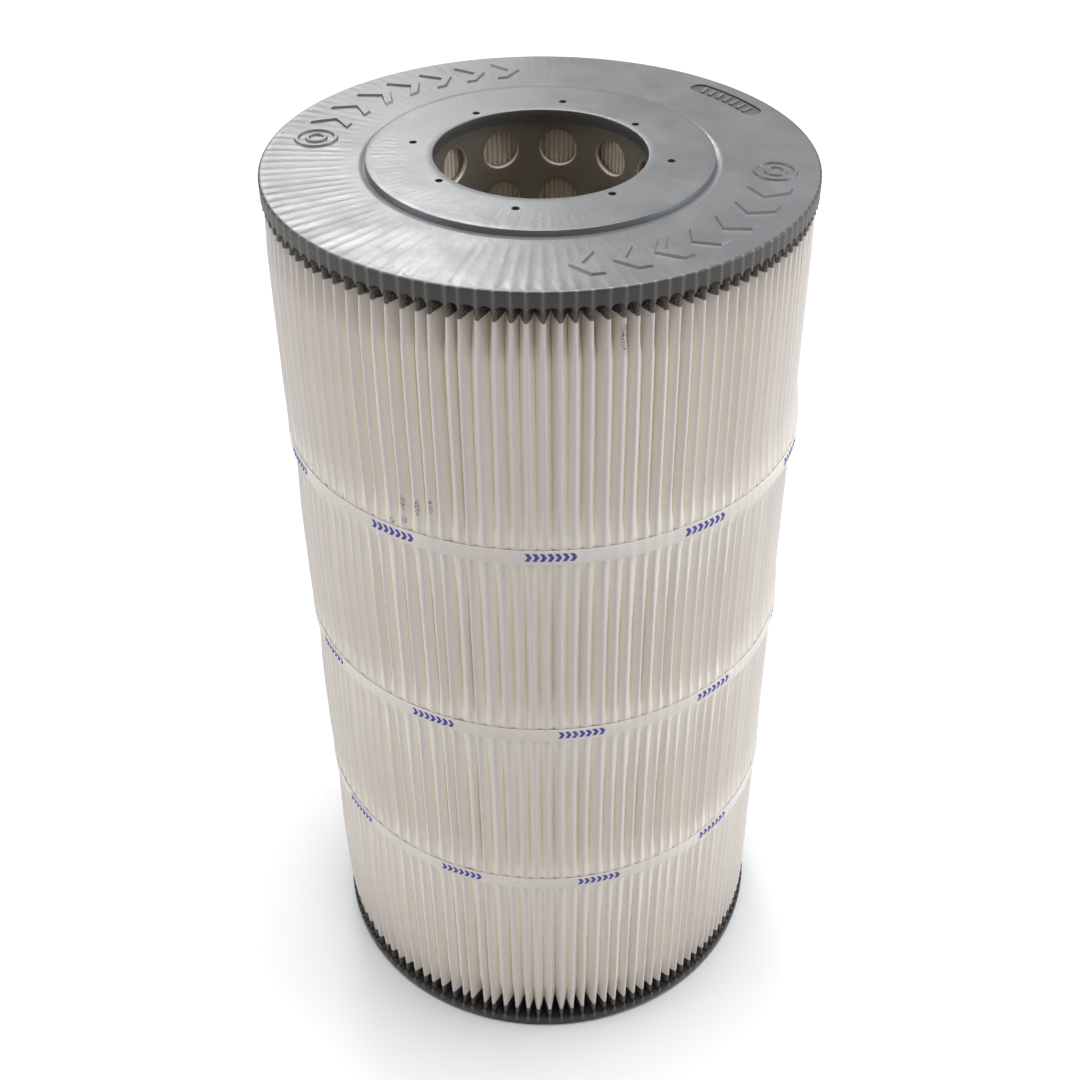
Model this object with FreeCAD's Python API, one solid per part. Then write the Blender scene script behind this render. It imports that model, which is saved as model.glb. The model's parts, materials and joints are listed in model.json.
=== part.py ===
import FreeCAD, Part

import math
import os

# Pleated filter cartridge for a pool or spa filter housing.
#
# Frame: millimetres. +Z runs up the cartridge's axis. The origin is the centre of the lower
# face that the cartridge stands on.

# ---- driving dimensions -------------------------------------------------------------------
OVERALL_HEIGHT = 493.5      # between the raised faces of the two end caps
CAP_RADIUS = 128.0          # outside of an end cap
BORE_RADIUS = 49.3          # opening through each end cap

# end caps, cast in polyurethane around the ends of the core and of the pleats. Both come from
# the same mould, which is filled less deep for the bottom cap.
TOP_RIM_HEIGHT = 7.3        # outer band of the cap, from its inner side to the outer annulus
BOTTOM_RIM_HEIGHT = 4.0
BORE_WALL = 5.5             # depth of the cast lining inside the core's end
RAISED_RADIUS = 80.0        # plateau around the bore
RAISED_HEIGHT = 2.5
RAISED_SLOPE = 1.2          # how far the plateau's side runs outwards towards its foot
CAP_EDGE = 1.0              # rounding of the cap's outer edge
MOUTH_EDGE = 0.4            # rounding of the bore's mouth and of the plateau's edge
PLEAT_COVER = 2.0           # casting between the outer annulus and the pleats' cut ends
CORE_COVER = 3.0            # casting between the plateau and the core's cut end

# marks left by the pins that hold the core and the pleats up off the floor of the mould
PIN_RADIUS = 1.85
PIN_DEPTH = 2.7
PIN_RINGS = ((60.0, -9.0), (54.5, 36.0))    # ring radius, angle of its first pin
PINS_PER_RING = 4

# core: an extruded tube with rows of flow holes
CORE_INNER_RADIUS = 50.5
CORE_OUTER_RADIUS = 53.5
HOLE_RADIUS = 8.75
HOLES_PER_ROW = 11
HOLE_ROWS = 19
FIRST_ROW_DEPTH = 17.0      # from the outer annulus of a cap to the nearest row of holes
FIRST_HOLE_ANGLE = 81.7

# pleated media: one sheet of spun-bonded polyester, folded to and fro around the core
PLEATS = 130
MEDIA_THICKNESS = 0.6
MEDIA_INNER_RADIUS = 54.0
MEDIA_OUTER_RADIUS = 127.0
OUTER_FOLD = 1.3            # width of the sheet's turn at the outside
INNER_FOLD = 1.3            # width of its turn beside the core
SEAM_ANGLE = 90.0           # the sheet's two ends are joined here
SEAM_WIDTH = 14.0           # radial width of the adhesive between the two ends
SEAM_SETBACK = 1.0          # the adhesive stops this far inside the ends

# bands: straps of the same cloth, wound once around the pleats and welded at an overlap
BAND_HEIGHTS = {"lower_band": 130.6, "middle_band": 244.4, "upper_band": 357.1}
BAND_WIDTH = 7.8
BAND_THICKNESS = 0.5
WELD_LENGTH = 18.0
WELD_ANGLES = {"lower_band": 60.0, "middle_band": 106.0, "upper_band": 74.0}

# ---- worked out from them -----------------------------------------------------------------
TOP = OVERALL_HEIGHT
UPPER_POTTING = TOP - RAISED_HEIGHT - TOP_RIM_HEIGHT        # inner side of the top cap
LOWER_POTTING = RAISED_HEIGHT + BOTTOM_RIM_HEIGHT           # inner side of the bottom cap
ROW_PITCH = (OVERALL_HEIGHT - 2 * (RAISED_HEIGHT + FIRST_ROW_DEPTH)) / (HOLE_ROWS - 1)
MEDIA_BOTTOM = RAISED_HEIGHT + PLEAT_COVER
MEDIA_HEIGHT = OVERALL_HEIGHT - 2 * MEDIA_BOTTOM
AXIS = FreeCAD.Vector(0, 0, 1)
CENTRE = FreeCAD.Vector(0, 0, 0)


def polar(radius, degrees, z=0.0):
    """A point at a distance and an angle from the cartridge's axis."""
    turn = math.radians(degrees)
    return FreeCAD.Vector(radius * math.cos(turn), radius * math.sin(turn), z)


def ring(inner, outer, low, high):
    """A plain tube between two heights."""
    height = high - low
    at = FreeCAD.Vector(0, 0, low)
    return Part.makeCylinder(outer, height, at).cut(Part.makeCylinder(inner, height, at))


def rounded_section(corners):
    """A closed section in the XZ plane, from corners of (radius, z, rounding)."""
    points = [FreeCAD.Vector(radius, 0, z) for radius, z, _ in corners]
    starts, ends, arcs = [], [], []
    for i, (_, _, rounding) in enumerate(corners):
        corner = points[i]
        back = (points[i - 1] - corner).normalize()
        ahead = (points[(i + 1) % len(points)] - corner).normalize()
        half = back.getAngle(ahead) / 2
        reach = rounding / math.tan(half)
        starts.append(corner + back * reach)
        ends.append(corner + ahead * reach)
        towards = (back + ahead).normalize()
        middle = corner + towards * (rounding / math.sin(half) - rounding)
        arcs.append(Part.Arc(starts[i], middle, ends[i]).toShape() if rounding else None)
    edges = []
    for i, arc in enumerate(arcs):
        if arc:
            edges.append(arc)
        edges.append(Part.makeLine(ends[i], starts[(i + 1) % len(starts)]))
    return Part.Face(Part.Wire(edges))


# ---- pleated media ------------------------------------------------------------------------
def sheet_line():
    """The middle of the folded sheet in plan, from one end at the seam round to the other."""
    pitch = 360.0 / PLEATS
    half = MEDIA_THICKNESS / 2
    inner, outer = MEDIA_INNER_RADIUS + half, MEDIA_OUTER_RADIUS - half
    inner_turn = math.degrees(INNER_FOLD / 2 / inner)
    outer_turn = math.degrees(OUTER_FOLD / 2 / outer)
    points = [polar(outer, SEAM_ANGLE + outer_turn), polar(inner, SEAM_ANGLE + pitch / 2 - inner_turn)]
    for pleat in range(1, PLEATS):
        crown = SEAM_ANGLE + pleat * pitch
        points.append(polar(inner, crown - pitch / 2 + inner_turn))
        points.append(polar(outer, crown - outer_turn))
        points.append(polar(outer, crown + outer_turn))
        points.append(polar(inner, crown + pitch / 2 - inner_turn))
    points.append(polar(inner, SEAM_ANGLE - pitch / 2 + inner_turn))
    points.append(polar(outer, SEAM_ANGLE - outer_turn))
    return points


def offset_line(points, distance):
    """An open line moved sideways by a distance, with its corners mitred."""
    normals = []
    for a, b in zip(points, points[1:]):
        normals.append(AXIS.cross(b - a).normalize())
    moved = [points[0] + normals[0] * distance]
    for point, before, after in zip(points[1:], normals, normals[1:]):
        both = before + after
        moved.append(point + both * (2 * distance / both.dot(both)))
    moved.append(points[-1] + normals[-1] * distance)
    return moved


def prism(points, low, height):
    """A closed outline in plan, raised to a solid."""
    outline = Part.makePolygon(points + points[:1])
    outline.translate(FreeCAD.Vector(0, 0, low))
    return Part.Face(outline).extrude(FreeCAD.Vector(0, 0, height))


def make_pleated_media():
    line = sheet_line()
    half = MEDIA_THICKNESS / 2
    outline = offset_line(line, half) + offset_line(line, -half)[::-1]
    return prism(outline, MEDIA_BOTTOM, MEDIA_HEIGHT)


def make_side_seam(media):
    """The adhesive between the sheet's two ends, as wide as the gap between them."""
    reach = MEDIA_OUTER_RADIUS - SEAM_SETBACK
    slab = Part.makeBox(SEAM_WIDTH, OUTER_FOLD, UPPER_POTTING - LOWER_POTTING)
    slab.translate(FreeCAD.Vector(reach - SEAM_WIDTH, -OUTER_FOLD / 2, LOWER_POTTING))
    slab.rotate(CENTRE, AXIS, SEAM_ANGLE)
    return max(slab.cut(media).Solids, key=lambda solid: solid.Volume)


# ---- core ---------------------------------------------------------------------------------
def make_core_tube():
    tube = ring(CORE_INNER_RADIUS, CORE_OUTER_RADIUS, CORE_COVER, TOP - CORE_COVER)
    drills = []
    for row in range(HOLE_ROWS):
        z = RAISED_HEIGHT + FIRST_ROW_DEPTH + row * ROW_PITCH
        for hole in range(HOLES_PER_ROW):
            angle = FIRST_HOLE_ANGLE + hole * 360.0 / HOLES_PER_ROW
            start = polar(CORE_INNER_RADIUS - HOLE_RADIUS, angle, z)
            drills.append(Part.makeCylinder(HOLE_RADIUS, 2 * HOLE_RADIUS, start, polar(1, angle)))
    return tube.cut(drills)


# ---- end caps -----------------------------------------------------------------------------
def make_end_cap(media, rim_height):
    """A cap at the top: a turned shape with a groove for the core and slots for the pleats."""
    annulus = TOP - RAISED_HEIGHT
    under = annulus - rim_height
    section = rounded_section([
        (BORE_RADIUS, TOP, MOUTH_EDGE),
        (RAISED_RADIUS, TOP, MOUTH_EDGE),
        (RAISED_RADIUS + RAISED_SLOPE, annulus, 0),
        (CAP_RADIUS, annulus, CAP_EDGE),
        (CAP_RADIUS, under, 0),
        (CORE_OUTER_RADIUS, under, 0),
        (CORE_OUTER_RADIUS, TOP - CORE_COVER, 0),
        (CORE_INNER_RADIUS, TOP - CORE_COVER, 0),
        (CORE_INNER_RADIUS, TOP - BORE_WALL, 0),
        (BORE_RADIUS, TOP - BORE_WALL, 0),
    ])
    cap = section.revolve(CENTRE, AXIS, 360)
    pins = []
    for radius, first in PIN_RINGS:
        for pin in range(PINS_PER_RING):
            foot = polar(radius, first + pin * 360.0 / PINS_PER_RING, TOP - PIN_DEPTH)
            pins.append(Part.makeCylinder(PIN_RADIUS, 2 * PIN_DEPTH, foot))
    return cap.cut(pins + [media])


def turned_over(shape):
    """The same shape at the cartridge's other end."""
    other = shape.copy()
    other.rotate(FreeCAD.Vector(0, 0, OVERALL_HEIGHT / 2), polar(1, SEAM_ANGLE), 180)
    return other


# ---- bands --------------------------------------------------------------------------------
def make_band(height, weld_angle):
    """A strap around the pleats' outer folds, with its ends welded one on the other."""
    low, high = height - BAND_WIDTH / 2, height + BAND_WIDTH / 2
    outside = MEDIA_OUTER_RADIUS + BAND_THICKNESS
    strap = ring(MEDIA_OUTER_RADIUS, outside, low, high)
    doubled = ring(outside, outside + BAND_THICKNESS, low, high)
    reach = 2 * CAP_RADIUS
    spread = math.degrees(WELD_LENGTH / 2 / outside)
    corners = [CENTRE, polar(reach, weld_angle - spread), polar(reach, weld_angle + spread)]
    return strap.fuse(doubled.common(prism(corners, low, BAND_WIDTH)))


media = make_pleated_media()
parts = {
    "top_end_cap": make_end_cap(media, TOP_RIM_HEIGHT),
    "bottom_end_cap": turned_over(make_end_cap(media, BOTTOM_RIM_HEIGHT)),
    "core_tube": make_core_tube(),
    "pleated_media": media,
    "media_side_seam": make_side_seam(media),
}
for name, height in BAND_HEIGHTS.items():
    parts[name] = make_band(height, WELD_ANGLES[name])

os.makedirs("parts", exist_ok=True)
for name, shape in parts.items():
    shape.exportStep(f"parts/{name}.step")
    box = shape.BoundBox
    print(f"{name:16} solids {len(shape.Solids)} valid {shape.isValid()} "
          f"volume {shape.Volume:.0f} z {box.ZMin:.2f}..{box.ZMax:.2f}")
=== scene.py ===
import json
import math

import bmesh
import bpy
import numpy as np
from mathutils import Matrix, Vector


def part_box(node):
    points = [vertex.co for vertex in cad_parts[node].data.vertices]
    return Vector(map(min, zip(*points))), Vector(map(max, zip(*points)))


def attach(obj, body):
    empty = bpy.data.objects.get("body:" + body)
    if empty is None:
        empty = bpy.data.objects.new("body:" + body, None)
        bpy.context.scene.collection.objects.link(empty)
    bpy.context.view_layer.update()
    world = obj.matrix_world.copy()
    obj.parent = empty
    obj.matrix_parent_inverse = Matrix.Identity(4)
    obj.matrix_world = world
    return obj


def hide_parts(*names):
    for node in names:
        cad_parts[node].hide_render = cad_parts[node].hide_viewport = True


# A pleated pool filter cartridge: two cast end caps, a perforated core, one folded sheet of
# filter cloth and three printed straps. Everything is in metres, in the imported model's frame.

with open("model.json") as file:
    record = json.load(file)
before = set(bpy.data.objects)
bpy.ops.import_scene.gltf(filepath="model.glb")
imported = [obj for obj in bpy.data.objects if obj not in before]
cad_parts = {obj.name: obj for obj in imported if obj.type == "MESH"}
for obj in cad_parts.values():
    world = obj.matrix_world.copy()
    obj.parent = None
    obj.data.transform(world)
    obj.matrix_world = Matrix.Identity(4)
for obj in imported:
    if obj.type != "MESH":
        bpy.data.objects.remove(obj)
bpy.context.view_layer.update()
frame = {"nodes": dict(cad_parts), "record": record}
rng = np.random.default_rng(21)

MM = 0.001
TURN = 2 * math.pi

# ---- sizes taken from the frame -----------------------------------------------------------
TOP_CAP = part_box("top_end_cap")
BOTTOM_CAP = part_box("bottom_end_cap")
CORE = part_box("core_tube")
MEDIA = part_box("pleated_media")
BANDS = {name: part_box(name) for name in ("upper_band", "middle_band", "lower_band")}
MOUNTS = {mount["name"]: mount for mount in frame["record"]["mounts"]}

TOP = TOP_CAP[1][2]
CAP_RADIUS = TOP_CAP[1][0]
BORE_RADIUS = MOUNTS["top_bore"]["dims"]["r_mm"] * MM
UPPER_POTTING = TOP_CAP[0][2]
LOWER_POTTING = BOTTOM_CAP[1][2]
MEDIA_RADIUS = MEDIA[1][0]

# ---- sizes of the details -----------------------------------------------------------------
RAISED_RADIUS = 80 * MM         # plateau around the bore
RAISED_HEIGHT = 2.5 * MM
CORE_OUTER = CORE[1][0]
CORE_INNER = CORE_OUTER - 3 * MM
CORE_COVER = CORE[0][2]         # casting over the core's cut end
PIN_RINGS = ((60 * MM, -9), (54.5 * MM, 36))    # ring radius, angle of its first pin in degrees
PINS_PER_RING = 4
PIN_RADIUS = 1.85 * MM
PIN_DEPTH = 2.6 * MM

PLEATS = 130
SEAM_ANGLE = math.radians(90)
SHEET = 0.6 * MM                # the cloth's thickness
INNER_FOLD_RADIUS = 54.3 * MM
SEAM_HALF = 0.66 * MM           # half the gap that the adhesive fills between the sheet's ends

HOLE_RADIUS = 8.75 * MM
HOLES_PER_ROW = 11
HOLE_ROWS = 19
FIRST_ROW = 19.5 * MM           # height of the lowest row's middle
FIRST_HOLE = math.radians(81.7)


# ---- mesh helpers -------------------------------------------------------------------------
def new_object(name, vertices, faces, sharp):
    """A smooth-shaded mesh object, with edges sharper than an angle in degrees kept crisp."""
    mesh = bpy.data.meshes.new(name)
    mesh.from_pydata(np.asarray(vertices).reshape(-1, 3).tolist(), [], faces)
    mesh.validate()
    mesh.shade_smooth()
    if sharp:
        mesh.set_sharp_from_angle(angle=math.radians(sharp))
    piece = bpy.data.objects.new(name, mesh)
    bpy.context.scene.collection.objects.link(piece)
    return piece


def grid_faces(rows, columns, first=0, wrap_rows=False, wrap_columns=False):
    """Quads between the points of a grid that is stored row by row."""
    index = first + np.arange(rows * columns).reshape(rows, columns)
    if wrap_rows:
        index = np.vstack([index, index[:1]])
    if wrap_columns:
        index = np.hstack([index, index[:, :1]])
    corners = [index[:-1, :-1], index[:-1, 1:], index[1:, 1:], index[1:, :-1]]
    return np.stack(corners, -1).reshape(-1, 4).tolist()


def flipped(faces):
    return [face[::-1] for face in faces]


def cylindrical(radius, angle, z):
    """Points from radius, angle and height, broadcast against each other."""
    radius, angle, z = np.broadcast_arrays(radius, angle, z)
    return np.stack([radius * np.cos(angle), radius * np.sin(angle), z], -1)


def set_attribute(piece, name, values):
    layer = piece.data.attributes.new(name, "FLOAT", "POINT")
    layer.data.foreach_set("value", np.asarray(values, np.float32).ravel())


def smoothstep(low, high, value):
    """An eased step from 0 at low to 1 at high. Low may be the greater of the two."""
    t = np.clip((value - low) / (high - low), 0, 1)
    return t * t * (3 - 2 * t)


def cut_away(piece, tools):
    """Subtracts closed meshes from a piece and removes them."""
    tool = tools[0]
    join(tool, tools[1:])
    cut = piece.modifiers.new("cut", "BOOLEAN")
    cut.operation = "DIFFERENCE"
    cut.solver = "EXACT"
    cut.object = tool
    with bpy.context.temp_override(object=piece, active_object=piece):
        bpy.ops.object.modifier_apply(modifier=cut.name)
    bpy.data.objects.remove(tool)


def join(target, others):
    """Adds the meshes of other objects to the target's mesh."""
    work = bmesh.new()
    work.from_mesh(target.data)
    for other in others:
        work.from_mesh(other.data)
        bpy.data.objects.remove(other)
    work.to_mesh(target.data)
    work.free()


# ---- how the pleats lie -------------------------------------------------------------------
CROWDING = 0.15
OPEN_SIDE = math.radians(195)


def even_folds():
    """Angles of the folds as the caps hold them: less crowded towards the open side."""
    about = SEAM_ANGLE + np.arange(PLEATS) * TURN / PLEATS
    steps = 1 + CROWDING * np.cos(about - OPEN_SIDE)
    return SEAM_ANGLE + np.concatenate([[0], np.cumsum(steps)[:-1]]) * TURN / steps.sum()


def following(angles):
    """Each fold's next neighbour round the cartridge."""
    return np.append(angles[1:], angles[0] + TURN)


def preceding(angles):
    """Each fold's last neighbour round the cartridge."""
    return np.append(angles[-1] - TURN, angles[:-1])


def scattered(usual):
    """A random shift for each pleat, given as a share of its pitch and held to twice that."""
    return rng.normal(0, usual, PLEATS).clip(-2 * usual, 2 * usual) * PITCH


# inner folds, outer folds and the valleys between the outer ones, as angles round the cartridge
EVEN = even_folds()
PITCH = following(EVEN) - EVEN
ROOTS = EVEN + PITCH / 2
TIPS = EVEN + scattered(0.08)
TIPS[0] = SEAM_ANGLE
GAPS = (following(TIPS) - TIPS) / PITCH
VALLEYS = (TIPS + following(TIPS)) / 2 + scattered(0.04)

# how far each tip stands back, how deep its valley is and how it wanders along its height
TIP_SETBACK = rng.uniform(0, 0.4 * MM, PLEATS)
DEPTH_SHARE = rng.uniform(0.85, 1.15, PLEATS)
WAVES = 4
WANDER = rng.normal(0, 1, (WAVES, PLEATS))
WANDER_REACH = 0.28 * MM

# how far in the pleats' flanks meet: at the caps, which hold them apart, between the caps, and
# under a strap. At the cartridge's sides the free valleys lose a share of their depth.
CAP_VALLEY = 10.5 * MM
FREE_VALLEY = 3.5 * MM
STRAP_VALLEY = 0.8 * MM
SIDE_LOSS = 0.35

# how far the slack sheet stands out between its ties and under them
SLACK = 1.2 * MM
TIED = 0.2 * MM
SLACK_LEAN = 0.7                # the share by which it is less at the right and more at the left
TIP_LEVEL = -0.08 * MM          # from the frame's outer radius to where that is counted from

# how far each strap and the cloth above it are pushed out at the cartridge's right side and at
# its left. It fades out over a few millimetres below the strap and by some height above it.
SWELL = {
    "upper_band": (2.7 * MM, 2.2 * MM),
    "middle_band": (1.4 * MM, 1.7 * MM),
    "lower_band": (0.8 * MM, 1.3 * MM),
}
SWELL_FADE = 6 * MM
SWELL_START = 1.68              # it starts this many times that height below the strap's middle
SWELL_TOP = 48                  # mm, at the left
SWELL_TOP_LESS = 14             # mm less at the right

# the cloth lies as a strap holds it up to this far from the strap's middle
AT_STRAP = 4.1 * MM


def band_middle(name):
    return (BANDS[name][0][2] + BANDS[name][1][2]) / 2


def swell(z, angle):
    """How far the cartridge has swollen at its sides, at each strap and just above it."""
    out = 0
    rightward = 0.5 + 0.5 * np.cos(angle)
    top = (SWELL_TOP - SWELL_TOP_LESS * rightward) * MM
    for name, (right, left) in SWELL.items():
        above = z - band_middle(name)
        below = np.clip(above / SWELL_FADE + SWELL_START, 0, 1)
        kept = below * smoothstep(top, SWELL_FADE, above)
        out = out + (left + (right - left) * rightward) * kept
    return out * np.cos(angle) ** 4


def strap_nearness(z, near, far):
    """1 at a strap, falling to 0 between two distances from it."""
    return max(1 - smoothstep(near, far, abs(z - band_middle(name))) for name in BANDS)


def tip_radius(z, angle):
    """Radius of the outer folds at a place: held by the caps and straps, slack between them."""
    free = smoothstep(0, 40 * MM, z - LOWER_POTTING) * smoothstep(0, 40 * MM, UPPER_POTTING - z)
    slack = SLACK * free * (1 - SLACK_LEAN * np.cos(angle))
    out = slack + (TIED - slack) * strap_nearness(z, 4 * MM, 42 * MM)
    return MEDIA_RADIUS + TIP_LEVEL + swell(z, angle) + out


def valley_depth(z, angle):
    """Depth of the open valleys at a place."""
    from_cap = min(z - LOWER_POTTING, UPPER_POTTING - z)
    free = FREE_VALLEY * (1 - SIDE_LOSS * np.cos(angle) ** 2)
    depth = CAP_VALLEY + (free - CAP_VALLEY) * smoothstep(0, 30 * MM, from_cap)
    return depth + (STRAP_VALLEY - depth) * strap_nearness(z, AT_STRAP, 24 * MM)


def tip_angles(z):
    """Angles of the outer folds at a height: they wander a little between the straps."""
    along = (z - LOWER_POTTING) / (UPPER_POTTING - LOWER_POTTING)
    drift = sum(WANDER[k] * math.sin((k + 1) * math.pi * along) / (k + 1) for k in range(WAVES))
    shift = WANDER_REACH / MEDIA_RADIUS * drift
    shift[0] = 0
    return TIPS + shift


# where a pleat's flank has points between its tip and the foot of its valley: shares of the
# valley's depth, counted from the foot
FLANK_STEPS = (0.6, 0.0)

# how much a flank bows out: 1 is straight. Beside the seam it stays flat against the adhesive.
FLANK_BOW = np.full(PLEATS, 1.0)
FLANK_BOW[0] = 0.04

TIP_HALF = np.full(PLEATS, 0.55 * MM)   # half the width of an outer fold's turn
TIP_HALF[0] = SEAM_HALF
TIP_BEVEL = 0.35 * MM           # how far back the turn's corners lie, unless the valley is shallow
TIP_BEVEL_SHARE = 0.3
CLOSED_HALF = 0.31 * MM         # half the distance between two closed flanks' middles
ROOT_DEPTH = 4.0 * MM           # height of the inner fold's drop-shaped loop
ROOT_ROUND = 1.1 * MM           # where that loop is widest
ROOT_GAP = 0.06 * MM            # half the gap between two loops


def half_pleat(side, tips, valleys, roots, outer, mouth):
    """Plan points of each pleat's flank from its tip to its root, towards one side."""
    across = side * (valleys - tips) * outer - TIP_HALF
    corner = outer - np.minimum(TIP_BEVEL, TIP_BEVEL_SHARE * (outer - mouth))
    points = [cylindrical(corner, tips + side * TIP_HALF / outer, 0)]
    for step in FLANK_STEPS:
        radius = mouth + step * (outer - mouth)
        away = CLOSED_HALF + (across - CLOSED_HALF) * step ** FLANK_BOW
        points.append(cylindrical(radius, valleys - side * away / radius, 0))
    closed = INNER_FOLD_RADIUS + ROOT_DEPTH
    points.append(cylindrical(closed, roots - side * CLOSED_HALF / closed, 0))
    rounded = INNER_FOLD_RADIUS + ROOT_ROUND
    bulge = (PITCH / 2 * rounded - SHEET / 2 - ROOT_GAP) / rounded
    points.append(cylindrical(rounded, roots - side * bulge, 0))
    return np.stack(points, 1)[..., :2]


def sheet_line(z):
    """The middle of the folded sheet in plan at a height, from one end to the other."""
    tips = tip_angles(z)
    moved = tips - TIPS
    valleys = VALLEYS + (moved + np.append(moved[1:], moved[0])) / 2
    setback = TIP_SETBACK * (1 - strap_nearness(z, AT_STRAP, 20 * MM))
    outer = tip_radius(z, tips) - SHEET / 2 - setback
    depth = DEPTH_SHARE * GAPS * valley_depth(z, valleys)
    falling = half_pleat(1, tips, valleys, ROOTS, outer, outer - depth)
    behind = outer - np.roll(depth, 1)
    rising = half_pleat(-1, tips, preceding(valleys), preceding(ROOTS), outer, behind)[:, ::-1]
    crown = cylindrical(outer, tips, 0)[:, None, :2]
    root = cylindrical(INNER_FOLD_RADIUS, ROOTS, 0)[:, None, :2]
    whole = np.concatenate([rising, crown, falling, root], 1)
    first = np.concatenate([falling[0], root[0]])
    return np.concatenate([first, whole[1:].reshape(-1, 2), rising[0]])


def depth_line():
    """How deep in its valley each point of the sheet's line lies: 0 on a tip, 1 at its foot."""
    beside_tip = 0.04
    falling = [beside_tip] + [1 - step for step in FLANK_STEPS] + [1, 1]
    rising = falling[::-1]
    return np.array(falling + [1] + (rising + [0] + falling + [1]) * (PLEATS - 1) + rising)


def offset(line, distance):
    """A plan line moved sideways, with its corners mitred."""
    along = np.diff(line, axis=0)
    along /= np.linalg.norm(along, axis=1, keepdims=True)
    normal = np.stack([along[:, 1], -along[:, 0]], 1)
    before, after = np.vstack([normal[:1], normal]), np.vstack([normal, normal[-1:]])
    both = before + after
    reach = 2 / np.maximum((both ** 2).sum(1), 0.8)
    return line + both * reach[:, None] * distance


STRAP_LEVELS = (-10, -7, -4.1, 4.1, 9, 16, 28)      # mm from a strap's middle
LONGEST_SPAN = 45 * MM


def media_levels():
    """Heights of the sheet's rows of points: close together where the straps pinch it."""
    low, high = MEDIA[0][2], MEDIA[1][2]
    levels = [low, low + 10 * MM, low + 30 * MM, high - 33 * MM, high - 12 * MM, high]
    for name in BANDS:
        levels += [band_middle(name) + step * MM for step in STRAP_LEVELS]
    levels = sorted(levels)
    halfway = [(a + b) / 2 for a, b in zip(levels[:-1], levels[1:]) if b - a > LONGEST_SPAN]
    return sorted(levels + halfway)


def make_media():
    """The folded sheet, as a closed skin with the cloth's thickness."""
    levels = media_levels()
    rows, count = len(levels), len(sheet_line(levels[0]))
    sides = []
    for side in (0.5, -0.5):
        for z in levels:
            line = offset(sheet_line(z), side * SHEET)
            sides.append(np.column_stack([line, np.full(count, z)]))
    points = np.concatenate(sides)
    half = rows * count
    faces = grid_faces(rows, count) + flipped(grid_faces(rows, count, half))
    front = np.arange(half).reshape(rows, count)
    rims = ((front[0], False), (front[-1], True), (front[:, 0], True), (front[:, -1], False))
    for rim, turn in rims:
        joins = np.stack([rim[:-1], rim[:-1] + half, rim[1:] + half, rim[1:]], 1).tolist()
        faces += flipped(joins) if turn else joins
    media = new_object("pleated_sheet", points, faces, sharp=None)
    line = depth_line()
    # The valley attribute carries the cloth's painted light and shade by depth.
    set_attribute(media, "valley", np.tile(line, 2 * rows))
    closing = (line == 1) & (np.append(line[1:], 1) + np.append(1, line[:-1]) < 2)
    crease_edges(media, np.tile(closing, 2 * rows))
    return media


def crease_edges(piece, along):
    """Keeps the edges between marked points crisp."""
    mesh = piece.data
    ends = np.empty(2 * len(mesh.edges), np.int32)
    mesh.edges.foreach_get("vertices", ends)
    crisp = along[ends.reshape(-1, 2)].all(1)
    layer = mesh.attributes.get("sharp_edge")
    layer = layer or mesh.attributes.new("sharp_edge", "BOOLEAN", "EDGE")
    layer.data.foreach_set("value", crisp)


# ---- end caps -----------------------------------------------------------------------------
COLUMNS_PER_PLEAT = 8
CAP_SHARP = 38                  # degrees
ARCH_HEIGHT = 2.8 * MM          # the rim's lower edge arches up this far between the tips
TIP_RIDGE = 0.05 * MM           # a tip just shows through the rim
MOUTH_EDGE = 0.4 * MM           # rounding of the bore's mouth and of the plateau's edge
CAP_EDGE = 1.1 * MM             # rounding of the cap's outer edge
PLATEAU_FOOT = ((0.5, 0.35), (1.1, 0.3), (1.5, 0.0))    # mm outwards, mm under the annulus

# depth of the casting's ripple in mm: least, and what is added on its strongest side
RIPPLE_LEAST = 0.014
RIPPLE_MORE = 0.066
RIPPLE_SIDE = math.radians(-150)


def cap_columns():
    """Angles of the cap's columns of points and each one's phase between two tips."""
    phase = np.arange(COLUMNS_PER_PLEAT) / COLUMNS_PER_PLEAT
    angles = TIPS[:, None] + (following(TIPS) - TIPS)[:, None] * phase
    return angles.ravel(), np.tile(phase, PLEATS)


def arc(middle_r, middle_d, radius, start, end, steps):
    """Points of a rounding in a cap's section, as (radius, depth), between two directions."""
    turns = np.radians(np.linspace(start, end, steps))
    return [(middle_r + radius * math.cos(t), middle_d - radius * math.sin(t)) for t in turns]


def cap_section(rim_height, bore_wall):
    """A cap's section as (radius, depth under the raised face), from the lining's foot round."""
    annulus = RAISED_HEIGHT
    under = annulus + rim_height
    mouth, edge = MOUTH_EDGE, CAP_EDGE
    section = [(BORE_RADIUS, bore_wall), (BORE_RADIUS, bore_wall / 2)]
    section += arc(BORE_RADIUS + mouth, mouth, mouth, 180, 90, 4)
    section += [(r * MM, 0) for r in (53, 56, 59.5, 63, 66.5, 70, 73.5, 77)]
    section += arc(RAISED_RADIUS - mouth, mouth, mouth, 90, 15, 4)
    section += [(RAISED_RADIUS + out * MM, annulus + down * MM) for out, down in PLATEAU_FOOT]
    section += [(r * MM, annulus) for r in np.linspace(84, 116, 12)]
    section += [(r * MM, annulus) for r in (118, 119.8, 121.4, 123, 124.4, 125.6, 126.4)]
    section += arc(CAP_RADIUS - edge, annulus + edge, edge, 90, 0, 5)
    section += [(CAP_RADIUS, annulus + rim_height * part) for part in (0.4, 0.7, 0.88, 1.0)]
    section += [(r * MM, under) for r in (127.2, 125.5, 121, 116, 100, 75)]
    section += [(CORE_OUTER, under), (CORE_OUTER, CORE_COVER)]
    section += [(CORE_INNER, CORE_COVER), (CORE_INNER, bore_wall)]
    return np.array(section)


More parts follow.
